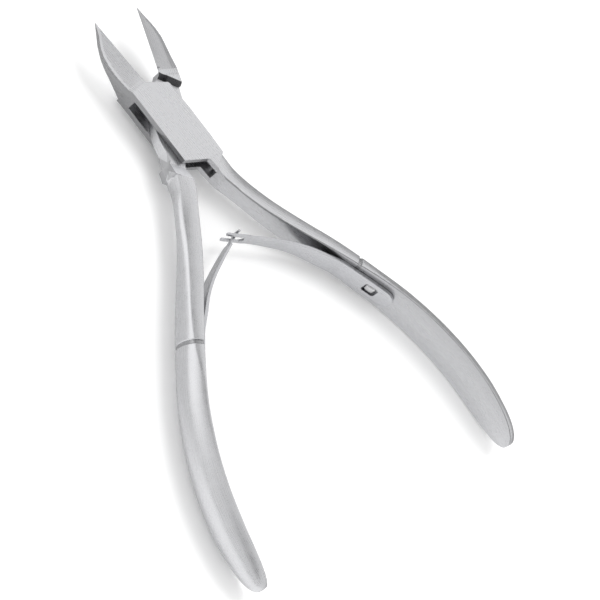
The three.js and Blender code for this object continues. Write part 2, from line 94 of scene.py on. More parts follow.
# Shank and grip: x, y of the inner face, its width in z, depth of the side facets, chord and
# bulge of the outer arc
HANDLE = [
    [2.15, -10.9, 5.1, 3.5, 4.95, 0.15], [3.20, -14.3, 4.8, 3.4, 4.0, 0.45],
    [4.80, -17.4, 4.4, 3.15, 3.1, 0.7], [6.45, -20.6, 4.3, 3.05, 3.0, 0.8],
    [8.60, -24.4, 4.8, 2.95, 3.6, 0.85], [11.05, -28.1, 5.6, 2.85, 4.3, 0.85],
    [13.55, -31.7, 6.35, 2.75, 5.0, 0.9], [16.10, -35.2, 7.0, 2.6, 5.7, 0.95],
    [18.70, -38.95, 7.6, 2.3, 6.4, 1.15], [21.25, -42.75, 8.15, 1.65, 7.3, 1.7],
    [23.75, -46.7, 8.65, 0.75, 8.25, 2.5], [26.05, -50.85, 8.95, 0.12, 8.9, 3.1],
    [28.15, -55.6, 9.2, 0.06, 9.18, 3.2], [29.98, -60.8, 9.4, 0.05, 9.38, 3.25],
    [31.42, -66.4, 9.5, 0.05, 9.48, 3.25], [32.32, -72.4, 9.3, 0.05, 9.28, 3.2],
    [32.58, -77.2, 8.4, 0.05, 8.38, 3.0], [32.60, -80.2, 7.2, 0.05, 7.18, 2.8],
    [32.50, -82.4, 5.5, 0.05, 5.48, 2.4], [32.40, -83.6, 3.7, 0.05, 3.68, 1.9],
    [32.32, -84.2, 1.8, 0.05, 1.78, 1.1],
]
TIP_ROW = 15                       # the rounded end of the grip starts at this row

# Free part of a leaf, up to where the two leaves cross: x, y, width
LEAF_FREE = [
    [15.55, -36.15, 4.75], [13.45, -33.95, 4.35], [11.75, -32.45, 3.95],
    [10.00, -31.10, 3.70], [8.20, -29.95, 3.50], [6.35, -28.85, 3.30],
    [4.50, -27.80, 3.12], [2.60, -26.80, 3.0], [0.0, -25.45, 2.9],
]
# Hooked ends of the leaves. IN and OUT are distances before and past the crossing
FORK_IN, FORK_OUT, FORK_W, FORK_SLOT, FORK_CORNER = 2.25, 2.0, 3.4, 1.8, 0.12
NECK_W, NECK_IN, NECK_FILLET = 1.15, 2.05, 0.5
HEAD_IN, HEAD_OUT, HEAD_W, HEAD_CORNER = 0.95, 1.4, 3.0, 0.14

# Jaw, closed frame: y, reach in x from the edge, z of the outer crease, z of the underside
JAW = np.array([
    [5.6, 4.03, 2.60, -2.60], [7.5, 3.99, 2.60, -2.60], [8.5, 4.10, 2.44, -2.35],
    [9.6, 4.22, 2.26, -1.80], [11.4, 4.26, 1.98, -0.90], [13.5, 4.22, 1.82, -0.05],
    [15.6, 3.90, 1.85, 0.60], [17.1, 3.34, 1.95, 1.00], [18.4, 2.64, 2.08, 1.30],
    [19.9, 1.60, 2.25, 1.72], [21.1, 0.78, 2.42, 2.10], [22.0, 0.16, 2.50, 2.40],
])
# Fall of the ground top of the jaw per mm outwards: y, slope
GRIND = np.array([
    [6.6, -0.06], [7.6, 0.0], [8.5, 0.039], [9.6, 0.080], [11.4, 0.146], [13.5, 0.185],
    [15.6, 0.192], [17.1, 0.195], [18.4, 0.197], [19.9, 0.219], [21.1, 0.23], [22.4, 0.24],
])
FEMALE_CREASE, MALE_CREASE = 0.30, 1.9    # slope beside the outer crease over the slope before it
MALE_WIDEN = 0.42                         # extra reach of the male jaw at its root

# Outlines in the closed frame: x, y
CHEEK = [
    [-3.99, 8.6], [-3.99, 7.5], [-4.06, 5.3], [-4.4, -0.7], [-4.72, -6.74], [-4.8, -8.1],
    [-1.96, -9.7], [-0.5, -10.5], [0.02, -10.85], [0.12, -11.4], [0.12, -13.3], [0.7, -12.8],
    [3.45, -11.4], [3.77, -7.46], [4.1, -1.36], [4.12, 3.0], [4.25, 4.6], [4.1, 5.1],
    [1.21, 6.9], [0.1, 7.6], [-EDGE_GAP, 7.8], [-EDGE_GAP, 8.6],
]
SLOT = [
    [-7, 6.05], [-3.2, 6.05], [-2.0, 7.5], [-0.3, 8.3], [1.0, 9.8], [7, 9.8], [7, -7.2],
    [3.4, -8.0], [1.9, -10.8], [1.2, -12.6], [0.06, -13.6], [-1.2, -13.7], [-7, -13.7],
]
LAND = [[-3, -8.5], [0.06, -8.5], [0.06, -17], [-3, -17]]     # flat inner side of the shank's root
# The tongue and the block under it differ on one side between their top (+Z) and bottom faces
TONGUE_SIDE_TOP = [[-3.4, -11.4], [-2.75, -9.0], [-3.1, -6.8], [-3.7, -4.2], [-3.8, -1.7]]
TONGUE_SIDE_BOTTOM = [[-3.6, -11.4], [-3.75, -9.2], [-3.55, -6.8], [-3.8, -4.8], [-3.85, -3.0]]
TONGUE_REST = [
    [-2.75, 1.2], [-2.5, 3.6], [-1.5, 6.7], [0.3, 7.75], [1.15, 9.1], [3.5, 9.1], [4.4, 6.6],
    [4.2, 2.5], [3.9, -1.5], [0.35, -8.9], [-0.1, -10.2], [-0.12, -14.0], [-3.2, -13.0],
]
BLOCK_BOTTOM = [[-3.66, -8.6], [-0.12, -10.3], [-0.12, -13.15], [-3.6, -11.6]]
BLOCK_TOP = [[-2.75, -8.6], [-0.12, -10.3], [-0.12, -13.15], [-3.5, -11.6]]
# Root of the male jaw: the part of the outline that leans, between two fixed corners
SHOULDER = [[-2, 8.75], [EDGE_GAP, 8.75], [0.8, 8.25], [4.6, 6.0], [8, 4.0]]
SHOULDER_LEAN = np.array([-0.4, -0.55])   # its shift at the tongue's faces
NOTCH = [[-0.2, 9.0], [0.75, 9.0], [0.75, 9.65], [-0.2, 9.65]]
NOTCH_Z = (1.7, 4.0)
# Slopes from the tongue to the shank: foot line at the tongue, shift over RAMP_RISE cheek heights
RAMP_TOP = ([[-6.2, -7.5], [2.7, -12.05]], [-0.72, -2.35])
RAMP_BOTTOM = ([[-6.2, -7.5], [2.7, -12.7]], [-0.16, -0.5])
RAMP_RISE = 1.5


# ---------------------------------------------------------------- curves
def rot2(points, angle):
    points = np.asarray(points, float)
    cos, sin = math.cos(angle), math.sin(angle)
    x, y = points[..., 0], points[..., 1]
    return np.stack([x * cos - y * sin, x * sin + y * cos], -1)


def catmull_rom(table, at):
    """Catmull-Rom through the table's rows; at counts in rows."""
    table = np.asarray(table, float)
    last = len(table) - 1
    i = np.clip(np.floor(at).astype(int), 0, last - 1)
    t = (at - i)[:, None]
    before, start = table[np.maximum(i - 1, 0)], table[i]
    end, after = table[i + 1], table[np.minimum(i + 2, last)]
    return 0.5 * (2 * start + (end - before) * t
                  + (2 * before - 5 * start + 4 * end - after) * t * t
                  + (3 * start - before - 3 * end + after) * t ** 3)


def pchip(x, y, at):
    """Monotone cubic through (x, y)."""
    x, y, at = np.asarray(x, float), np.asarray(y, float), np.asarray(at, float)
    gap = np.diff(x)
    slope = np.diff(y) / gap
    tangent = np.zeros(len(x))
    for k in range(1, len(x) - 1):
        if slope[k - 1] * slope[k] > 0:
            left, right = 2 * gap[k] + gap[k - 1], gap[k] + 2 * gap[k - 1]
            tangent[k] = (left + right) / (left / slope[k - 1] + right / slope[k])
    tangent[0], tangent[-1] = slope[0], slope[-1]
    i = np.clip(np.searchsorted(x, at) - 1, 0, len(x) - 2)
    t = (at - x[i]) / gap[i]
    return (y[i] * (1 + 2 * t) * (1 - t) ** 2 + tangent[i] * gap[i] * t * (1 - t) ** 2
            + y[i + 1] * t * t * (3 - 2 * t) + tangent[i + 1] * gap[i] * t * t * (t - 1))


def clamp01(value):
    return float(np.clip(value, 0, 1))


def arc_lengths(points):
    return np.concatenate([[0], np.cumsum(np.linalg.norm(np.diff(points, axis=0), axis=1))])


class Line:
    """Smooth plane curve through a table (x, y, more columns), read by arc length s."""
    ROW_STEPS = 200
    TANGENT_REACH = 0.05

    def __init__(self, table):
        spans = len(table) - 1
        self.rows = catmull_rom(table, np.linspace(0, spans, spans * self.ROW_STEPS + 1))
        self.points = self.rows[:, :2]
        self.s = arc_lengths(self.points)
        self.length = self.s[-1]

    def column(self, k, s):
        return np.interp(s, self.s, self.rows[:, k])

    def xy(self, s):
        return np.stack([self.column(0, s), self.column(1, s)], -1)

    def row_s(self, i):
        return float(self.s[i * self.ROW_STEPS])

    def s_of_y(self, y):
        return float(np.interp(-y, -self.points[:, 1], self.s))

    def at(self, s):
        """Point, unit tangent and unit outward normal; straight on past the far end."""
        s = np.atleast_1d(np.asarray(s, float))
        middle = np.clip(s, self.TANGENT_REACH, self.length - self.TANGENT_REACH)
        along = self.xy(middle + self.TANGENT_REACH) - self.xy(middle - self.TANGENT_REACH)
        along /= np.linalg.norm(along, axis=1)[:, None]
        point = self.xy(s) + along * np.maximum(s - self.length, 0)[:, None]
        return point, along, np.stack([-along[:, 1], along[:, 0]], -1)

    def place(self, s, points, depth):
        """3D ring: points (along, z) at s, in the plane shifted outwards by depth."""
        origin, along, out = [np.array([*v[0], 0.0]) for v in self.at(s)]
        return (origin + out * depth + points[:, :1] * along
                + points[:, 1:] * np.array([0, 0, 1.0]))

    def nearest(self, x, y, step):
        """Arc length of, and distance to, the nearest of every step-th point."""
        points = self.points[::step]
        squared = (x[:, None] - points[:, 0]) ** 2 + (y[:, None] - points[:, 1]) ** 2
        return self.s[::step][squared.argmin(1)], np.sqrt(squared.min(1))


GRIP = Line(HANDLE)
GRIP_END = GRIP.length + 0.12
GROOVE_S, STUD_S = GRIP.s_of_y(GROOVE_Y), GRIP.s_of_y(STUD_Y)


def leaf_table():
    """The leaf lies on the grip from its foot to the take-off, then runs free."""
    on_grip = np.linspace(GRIP.s_of_y(FOOT_END_Y), GRIP.s_of_y(TAKEOFF_Y), FOOT_ROWS)
    point, _, out = GRIP.at(on_grip)
    middle = point - out * (LEAF_LIFT + LEAF_T / 2)
    return [[*xy, FOOT_W] for xy in middle] + LEAF_FREE


FOOT_ROWS = 7
LEAF = Line(leaf_table())
LEAF_OFF_S = LEAF.row_s(FOOT_ROWS - 1)    # where it leaves the grip
LEAF_FLEX_S = LEAF.row_s(FOOT_ROWS + 1)   # middle of the bending part


# ---------------------------------------------------------------- solids, mm until finish_piece
def face_outwards(bm):
    bmesh.ops.recalc_face_normals(bm, faces=bm.faces)
    if bm.calc_volume(signed=True) < 0:
        bmesh.ops.reverse_faces(bm, faces=bm.faces)


def link_object(name, data):
    made = bpy.data.objects.new(name, data)
    bpy.context.scene.collection.objects.link(made)
    return made


def loft(rings):
    """Closed solid through rings of equal point counts."""
    count = len(rings[0])
    verts = np.concatenate([np.asarray(ring, float) for ring in rings])
    faces = []
    for i in range(len(rings) - 1):
        for j in range(count):
            k = (j + 1) % count
            low, high = i * count, (i + 1) * count
            faces.append((low + j, low + k, high + k, high + j))
    faces.append(tuple(range(count))[::-1])
    faces.append(tuple((len(rings) - 1) * count + j for j in range(count)))
    data = bpy.data.meshes.new("solid")
    data.from_pydata([tuple(map(float, v)) for v in verts], [], faces)
    data.validate(clean_customdata=False)
    solid = link_object("solid", data)
    bm = bmesh.new()
    bm.from_mesh(data)
    face_outwards(bm)
    bm.to_mesh(data)
    bm.free()
    return solid


def flat_ring(points, z, angle=0.0):
    turned = rot2(points, angle)
    return np.column_stack([turned, np.full(len(turned), z)])


def prism(points, bottom, top, angle=0.0):
    return loft([flat_ring(points, z, angle) for z in (bottom, top)])


def circle(radius, count):
    turn = np.linspace(0, 2 * np.pi, count, endpoint=False)
    return np.stack([radius * np.cos(turn), radius * np.sin(turn)], -1)


def rod(radius, past=0.0):
    """Cylinder on the pivot axis, reaching past both faces of the joint."""
    return prism(circle(radius, 96), -HALF - past, HALF + past)


def rounded_rect(length, width, radius, steps=8):
    outline = []
    right, top = length / 2 - radius, width / 2 - radius
    for x, y, start in ((right, top, 0), (-right, top, 90), (-right, -top, 180), (right, -top, 270)):
        for k in range(steps + 1):
            turn = math.radians(start + 90 * k / steps)
            outline.append([x + radius * math.cos(turn), y + radius * math.sin(turn)])
    return np.array(outline)


def drop(solid):
    data = solid.data
    bpy.data.objects.remove(solid)
    bpy.data.meshes.remove(data)


def boolean(solid, other, operation):
    """Change solid by other, which is used up."""
    modifier = solid.modifiers.new("op", "BOOLEAN")
    modifier.operation, modifier.object, modifier.solver = operation, other, "EXACT"
    bpy.context.view_layer.update()
    depsgraph = bpy.context.evaluated_depsgraph_get()
    data = bpy.data.meshes.new_from_object(solid.evaluated_get(depsgraph))
    solid.modifiers.clear()
    old = solid.data
    solid.data = data
    bpy.data.meshes.remove(old)
    drop(other)
    return solid


def cut(solid, other):
    return boolean(solid, other, "DIFFERENCE")


def join(solid, other):
    return boolean(solid, other, "UNION")


def mirrored(solid, keep=False):
    """Copy mirrored in X; the source goes unless it is kept."""
    data = solid.data.copy()
    copy = link_object("mirrored", data)
    data.transform(Matrix.Scale(-1, 4, (1, 0, 0)))
    data.flip_normals()
    if not keep:
        drop(solid)
    return copy


def smooth_ring(edges, interior, sigma, near):
    """Closed section from consecutive polylines, its corners blurred by sigma.

    Each edge is sampled at the distances near from both ends, plus interior points between.
    """
    near = np.asarray(near, float)
    outline = np.vstack([*[edge[:-1] for edge in edges], edges[0][:1]])
    s = arc_lengths(outline)
    length = s[-1]
    count = 1536
    even = np.arange(count) * length / count
    curve = np.interp(even, s, outline[:, 0]) + 1j * np.interp(even, s, outline[:, 1])
    frequency = np.fft.fftfreq(count, length / count)
    blur = np.exp(-0.5 * (2 * np.pi * frequency * sigma) ** 2)
    curve = np.fft.ifft(np.fft.fft(curve) * blur)
    even, curve = np.append(even, length), np.append(curve, curve[0])
    samples, start = [], 0.0
    for edge, middle in zip(edges, interior):
        span = float(np.linalg.norm(np.diff(edge, axis=0), axis=1).sum())
        ends = near * min(1.0, (span / 2) / 0.95)
        inside = np.linspace(ends[-1], span - ends[-1], middle + 2)[1:-1]
        at = np.sort(np.concatenate([ends, inside, span - ends[:0:-1]])) + start
        samples.append(np.stack([np.interp(at, even, curve.real), np.interp(at, even, curve.imag)], -1))
        start += span
    return np.concatenate(samples)


# ---------------------------------------------------------------- shank and grip
def grip_dims(s):
    """Width, facet depth, chord and bulge of the section; the end closes as a round."""
    width, facet, chord, bulge = [GRIP.column(k, s) for k in (2, 3, 4, 5)]
    stations = [GRIP.row_s(i) for i in range(TIP_ROW, len(HANDLE))] + [GRIP_END]

    def closing(k):
        squares = [row[k] ** 2 for row in HANDLE[TIP_ROW:]] + [0.0]
        return np.sqrt(np.maximum(pchip(stations, squares, np.minimum(s, GRIP_END)), 1e-4))

    tip = s > stations[0]
    width = np.where(tip, closing(2), width)
    bulge = np.where(tip, closing(5), bulge)
    chord = np.where(tip, width * 0.998, chord)
    facet = np.where(tip, np.minimum(0.05, 0.05 * width / 4), facet)
    return width, facet, chord, bulge


def grip_section(width, facet, chord, bulge, shrink):
    """Flat inner face, lightly crowned side facets, circular outer face; (outwards, z)."""
    rise = max(bulge - shrink, 0.01)
    half_chord = chord / 2 - min(shrink, chord / 4)
    radius = (rise * rise + half_chord * half_chord) / (2 * rise)
    first = math.asin(min(1.0, max(0.0, (radius - rise) / radius)))
    turn = first + (np.pi - 2 * first) * np.linspace(0, np.pi, 61) / np.pi
    arc = np.stack([facet + rise - radius + radius * np.sin(turn), radius * np.cos(turn)], -1)
    half_width = width / 2 - min(shrink, width / 4)
    low, high = np.array([0.0, -half_width]), np.array([0.0, half_width])
    k = np.linspace(0, 1, 9)[:, None]
    crown = np.array([0.0, 1.0]) * 4 * k * (1 - k) * min(0.06 * facet, 0.18)
    upper = high + (arc[0] - high) * k + crown
    lower = arc[-1] + (low - arc[-1]) * k - crown
    return smooth_ring([np.array([low, high]), upper, arc, lower], (2, 3, 22, 3),
                       sigma=min(0.17, 0.05 * width), near=(0, 0.07, 0.15, 0.25, 0.38, 0.56, 0.8))


def grip_stations():
    """Even steps, closer at the groove and towards the tip."""
    groove_side = np.array([0.18, 0.28, 0.36, 0.44, 0.5, 0.62, 0.85])
    s = np.concatenate([
        np.arange(0, GRIP.length - 3.0, 0.42),
        GROOVE_S + np.concatenate([-groove_side, [0], groove_side]),
        GRIP_END - 3.12 * np.linspace(1, 0.035, 26) ** 2,
    ])
    s = np.unique(np.round(s, 3))
    kept = [s[0]]
    for station in s[1:]:
        if station - kept[-1] > 0.035 or station > GRIP.length - 0.6:
            kept.append(station)
    return np.array(kept)


def handle_solid():
    stations = grip_stations()
    point, _, out = GRIP.at(stations)
    rings = []
    for i, (s, width, facet, chord, bulge) in enumerate(zip(stations, *grip_dims(stations))):
        groove = 1 - clamp01((abs(s - GROOVE_S) / (GROOVE_W / 2) - 0.5) / 0.5)
        groove = groove * groove * (3 - 2 * groove)
        fuller = bulge + 0.12 * clamp01((s - 34) / 12) * min(1.0, bulge / 3.0)
        section = grip_section(width, facet, chord, fuller, GROOVE_D * groove)
        rings.append(np.column_stack([point[i] + out[i] * section[:, :1], section[:, 1]]))
    handle = cut(loft(rings), prism(LAND, -6, 6, OPEN))
    hole = circle(STUD_R + 0.05, 48)
    return cut(handle, loft([GRIP.place(STUD_S, hole, depth) for depth in (-1.0, STUD_DEPTH)]))


# ---------------------------------------------------------------- jaws
def jaw_row(y):
    """Reach, crease z and underside z of the jaw at y."""
    return [float(pchip(JAW[:, 0], JAW[:, k], np.array([y]))[0]) for k in (1, 2, 3)]


def jaw_section(y, widen):
    """Section (x, z) of the jaw; its inner face slopes back under the edge past y = 7.5."""
    reach, crease, under = jaw_row(y)
    reach += widen * clamp01((14 - y) / 5)
    bevel = clamp01((y - 7.5) / 1.0)
    corner = 0.03 + (min(0.35, (crease - under) * 0.4) - 0.03) * bevel
    heel = -EDGE_GAP + (-min(0.72 * reach, 0.85 * (EDGE_Z - under)) + EDGE_GAP) * bevel
    low_x = -0.96 * reach
    top = np.array([[-EDGE_GAP, EDGE_Z], [-reach, EDGE_Z]])
    outer = np.array([[-reach, EDGE_Z], [-reach, crease],
                      [-0.997 * reach, crease + (under + corner - crease) * 0.5],
                      [low_x, under + corner]])
    bottom = np.array([[low_x, under + corner], [-0.9 * reach, under + 0.25 * corner],
                       [(low_x + heel) / 2, under], [heel, under]])
    k = np.linspace(0, 1, 9)
    inner = np.stack([heel + (-EDGE_GAP - heel) * k + 0.05 * bevel * np.sin(np.pi * k),
                      under + (EDGE_Z - under) * k], -1)
    section = smooth_ring([top, outer, bottom, inner], (2, 6, 6, 4),
                          sigma=min(0.05, 0.03 * reach + 0.002),
                          near=(0, 0.05, 0.11, 0.19, 0.3, 0.45))
    section[:, 0] = np.minimum(section[:, 0], -EDGE_GAP * 0.9)
    return section


def jaw_solid(widen):
    stations = np.unique(np.concatenate([
        np.linspace(5.6, 8.0, 8), np.linspace(8.0, 20.0, 44), np.linspace(20.0, 21.95, 16)]))
    rings = []
    for y in stations:
        section = jaw_section(y, widen)
        turned = rot2(np.column_stack([section[:, 0], np.full(len(section), y)]), OPEN)
        rings.append(np.column_stack([turned, section[:, 1]]))
    return loft(rings)


def grind_cutter(crease_slope):
    """Solid above the ground top of the jaw; the ground face meets the joint's face in an arc.

    crease_slope: slope of the strip along the outer crease, over the slope of the rest.
    """
    strip, soft = 0.76, 0.05       # start of the strip and its blending, in shares of the reach
    share = np.linspace(-0.12, 1.25, 56)
    gain = 1.0 / (strip + (1 - strip) * crease_slope)
    past_strip = soft * np.logaddexp(0, (share - strip) / soft)
    fall = gain * share + gain * (crease_slope - 1) * past_strip
    within = np.clip(share, 0, 1)
    rings = []
    for y in np.linspace(6.6, 22.4, 90):
        reach = max(jaw_row(min(y, JAW[-1, 0]))[0], 0.25)
        slope = float(pchip(GRIND[:, 0], GRIND[:, 1], np.array([y]))[0])
        sag = 0.02 * reach * float(np.clip((y - 7.7) / 3.0, -0.4, 1))
        border = np.clip((y - 7.75 - 0.11 * within * (1 - within) * reach) / 0.16, -1, 1)
        z = EDGE_Z - slope * reach * fall - 4 * sag * share * (1 - share) - 0.075 * border
        low = np.column_stack([-EDGE_GAP - reach * share, np.full(len(share), y), z])
        high = low[::-1].copy()
        high[:, 2] = 5.0
        ring = np.vstack([low, high])
        ring[:, :2] = rot2(ring[:, :2], OPEN)
        rings.append(ring)
    return loft(rings)


# ---------------------------------------------------------------- levers
def female_lever(handle, grind):
    lever = join(prism(CHEEK, -HALF, HALF, OPEN), jaw_solid(0.0))
    lever = join(cut(lever, grind), handle)
    lever = cut(lever, prism(SLOT, -SLOT_T / 2, SLOT_T / 2, OPEN))
    return cut(lever, rod(PIN_R + FEMALE_BORE, OVERCUT))


def shoulder_cutter():
    """Clears the root of the male jaw; the lean is full at the tongue and none at the faces."""
    rings = []
    past = -OVERCUT / CHEEK_T
    for z, lean in ((-HALF - OVERCUT, past), (-TONGUE_T / 2, 1), (TONGUE_T / 2, 1),
                    (HALF + OVERCUT, past)):
        rings.append(flat_ring([[-2, -3], *(SHOULDER + SHOULDER_LEAN * lean), [8, -3]], z, -OPEN))
    return loft(rings)


def ramp_cutter(side, foot, run):
    """Clears the joint above the tongue down to a slope; side is the sign of z."""
    bottom, top = TONGUE_T / 2, TONGUE_T / 2 + CHEEK_T * RAMP_RISE
    rings = []
    for x, y in foot:
        slope_x, slope_y = x + run[0] * RAMP_RISE, y + run[1] * RAMP_RISE
        ring = np.array([[x, y, bottom], [slope_x, slope_y, top],
                         [x + 0.9, y + 2.5, top], [x + 0.9, y + 2.5, bottom]])
        ring[:, :2] = rot2(ring[:, :2], -OPEN)
        ring[:, 2] *= side
        rings.append(ring)
    return loft(rings)


def male_lever(handle, grind):
    jaw = cut(mirrored(jaw_solid(MALE_WIDEN)), grind)
    jaw = cut(jaw, shoulder_cutter())
    jaw = cut(jaw, prism(NOTCH, *NOTCH_Z, -OPEN))
    lever = join(handle, jaw)
    lever = join(lever, loft([flat_ring(TONGUE_SIDE_BOTTOM + TONGUE_REST, -TONGUE_T / 2, -OPEN),
                              flat_ring(TONGUE_SIDE_TOP + TONGUE_REST, TONGUE_T / 2, -OPEN)]))
    lever = join(lever, loft([flat_ring(BLOCK_BOTTOM, -HALF, -OPEN),
                              flat_ring(BLOCK_TOP, HALF, -OPEN)]))
    lever = cut(lever, ramp_cutter(1, *RAMP_TOP))
    lever = cut(lever, ramp_cutter(-1, *RAMP_BOTTOM))
    return cut(lever, rod(PIN_R + MALE_BORE, OVERCUT))


# ---------------------------------------------------------------- springs and studs
def strip_width(s):
    return float(LEAF.column(2, s))


def foot_width(s):
    radius = FOOT_W / 2
    if s > radius:
        return strip_width(s)
    return 2 * math.sqrt(max(1e-3, radius * radius - (radius - s) ** 2))


def corner_loss(radius, s, end):
    """Width lost on each side at s to a rounded corner at the end."""
    into = max(0.0, s - (end - radius))
    return radius - math.sqrt(max(0.0, radius ** 2 - into ** 2))


HOOK_START = LEAF.length - 3.3     # the hooked end begins to take shape here
FORK_END = LEAF.length + FORK_OUT
NECK_START = LEAF.length - NECK_IN
HEAD_START, HEAD_END = LEAF.length + HEAD_IN, LEAF.length + HEAD_OUT


def fork_stations():
    return [*np.linspace(HOOK_START, FORK_END - 0.25, 16), FORK_END - 0.1, FORK_END]


def fork_width(s):
    strip = strip_width(s)
    k = clamp01((s - HOOK_START) / 0.9)
    width = strip + (FORK_W - strip) * k * k * (3 - 2 * k)
    return width - 2 * corner_loss(FORK_CORNER, s, FORK_END)


def tee_stations():
    """Close together at the neck's fillets and the head's corners."""
    return [
        *np.linspace(HOOK_START, NECK_START - 0.42, 8),
        *(NECK_START + np.array([-0.36, -0.28, -0.2, -0.12, -0.05, 0.0, 0.06, 0.14, 0.24])),
        *np.linspace(NECK_START + 0.4, HEAD_START - 0.12, 10),
        *(HEAD_START + np.array([-0.05, -0.01, 0.01, 0.06, 0.14])),
        *(HEAD_END - np.array([0.22, 0.12, 0.05, 0.0])),
    ]


def tee_width(s):
    wide_neck = NECK_W + NECK_FILLET
    if s < NECK_START:
        k = max(0.0, s - (NECK_START - 0.35)) / 0.35
        return strip_width(s) + (wide_neck - strip_width(s)) * (1 - math.sqrt(max(0.0, 1 - k * k)))
    if s < HEAD_START - 0.001:
        k = min(1.0, (s - NECK_START) / 0.24)
        return NECK_W + NECK_FILLET * (1 - math.sin(k * math.pi / 2))
    return HEAD_W - 2 * corner_loss(HEAD_CORNER, s, HEAD_END)


def leaf_section(s, width):
    thinning = min(1.0, max(0.0, (s - LEAF_OFF_S) / (LEAF.length - LEAF_OFF_S)))
    x, z = (LEAF_T + (LEAF_TIP_T - LEAF_T) * thinning) / 2, width / 2
    corners = np.array([[-x, -z], [-x, z], [x, z], [x, -z]])
    return smooth_ring([corners[[i, (i + 1) % 4]] for i in range(4)], (3, 1, 3, 1),
                       sigma=min(0.055, 0.05 * width + 0.002), near=(0, 0.06, 0.13, 0.22))


def leaf_solid(hook_stations, hook_width):
    """Leaf strip: rounded foot with a window over the stud, taper, hooked end."""
    radius, hook = FOOT_W / 2, LEAF.length - 3.4
    stations = [*(radius * (1 - np.cos(np.linspace(0.02, np.pi / 2, 22)))),
                *np.arange(radius + 0.3, hook, 0.4), *hook_stations]
    rings = []
    for s in stations:
        point, _, out = LEAF.at(s)
        section = leaf_section(s, hook_width(s) if s > hook else foot_width(s))
        rings.append(np.column_stack([point[0] + out[0] * section[:, :1], section[:, 1]]))
    window = rounded_rect(WINDOW_L, WINDOW_W, WINDOW_CORNER)
    return cut(loft(rings), loft([GRIP.place(STUD_S, window, depth) for depth in (-3.0, 1.0)]))


def fork_slot():
    """Cutter of the slot between the prongs, with a round end."""
    half, past = FORK_SLOT / 2, FORK_OUT + 2
    outline = [[past, half], [past, -half]]
    outline += [[-FORK_IN + half - half * math.cos(turn), -half * math.sin(turn)]
                for turn in np.linspace(np.pi / 2, -np.pi / 2, 13)]
    return loft([LEAF.place(LEAF.length, np.array(outline), depth) for depth in (-2.0, 2.0)])


def stud_solid():
    """Rivet: round shank in the grip, domed head inside the leaf's window."""
    head = rounded_rect(STUD_L, STUD_W, STUD_CORNER)
    turn = np.arctan2(head[:, 1], head[:, 0])
    shank = STUD_R * np.stack([np.cos(turn), np.sin(turn)], -1)
    # outline, its scale, depth into the grip
    levels = [(shank, 0.94, STUD_DEPTH - 0.1), (shank, 1.0, STUD_DEPTH - 0.2), (shank, 1.0, 0.06),
              (shank, 1.0, -0.02), (head, 1.0, -0.02)]
    for j in range(11):
        rise = j / 11 * math.pi / 2
        levels.append((head, math.cos(rise) ** 0.9, -(STUD_WALL + STUD_DOME * math.sin(rise))))
    levels.append((head, 0.02, -(STUD_WALL + STUD_DOME)))
    return loft([GRIP.place(STUD_S, outline * scale, depth) for outline, scale, depth in levels])


# ---------------------------------------------------------------- grain and tone of the steel
def lever_grain(x, y, z):
    """Along, across and z: following the grip, blended into the straight axis of the joint."""
    s, _ = GRIP.nearest(x, y, step=20)
    point, along, out = GRIP.at(s)
    offset = np.column_stack([x, y]) - point
    s = s + (offset * along).sum(1)
    across = (offset * out).sum(1)
    closed = rot2(np.column_stack([x, y]), -OPEN) - rot2(GRIP.points[0], -OPEN)
    joint = np.clip((y + 12.5) / 3.0, 0, 1)
    return np.column_stack([s * (1 - joint) - closed[:, 1] * joint,
                            across * (1 - joint) + closed[:, 0] * joint, z])


def leaf_grain(x, y, z):
    s, distance = LEAF.nearest(x, y, step=15)
    return np.column_stack([s, z, distance])


# Painted shade and highlight on faces over plain satin: the sunk faces, the ground tops, the creases
# and the outer sides get painted shade; the male ramp and the band beside the female crease get a
# painted highlight
PLAIN = 1.0
# painted shade in the grip's groove
GROOVE_PAINTED_SHADE = 0.62
FEMALE_PAINTED_SHADING = dict(slot=0.95, outer_side=0.46, crease=0.50, by_crease=1.10, grind=0.92,
                   inner_rim=0.55)
MALE_PAINTED_SHADING = dict(shoulder=0.25, tongue=0.9, grind=0.82, crease=0.66, joint_side=0.66, ramp=1.55)
PIN_RIM_R = 2.2                    # sunk faces nearer the pivot than this stay plain
SHANK_TOP_Y = -11.5
RIM_POINTS = GRIP.points[::16]
RIM_NORMALS = GRIP.at(GRIP.s[::16])[2]
GROOVE_POINT, GROOVE_ALONG, _ = [v[0] for v in GRIP.at(GROOVE_S)]


def from_inner_face(centre, normal):
    """Distance outwards from the grip's inner face, and how far the normal points outwards."""
    i = int(((RIM_POINTS - centre[:2]) ** 2).sum(1).argmin())
    out = RIM_NORMALS[i]
    return float(out @ (centre[:2] - RIM_POINTS[i])), float(out @ normal[:2])


def in_groove(centre):
    offset = centre[:2] - GROOVE_POINT
    return abs(float(offset @ GROOVE_ALONG)) < 0.4 and float(np.hypot(*offset)) < 7


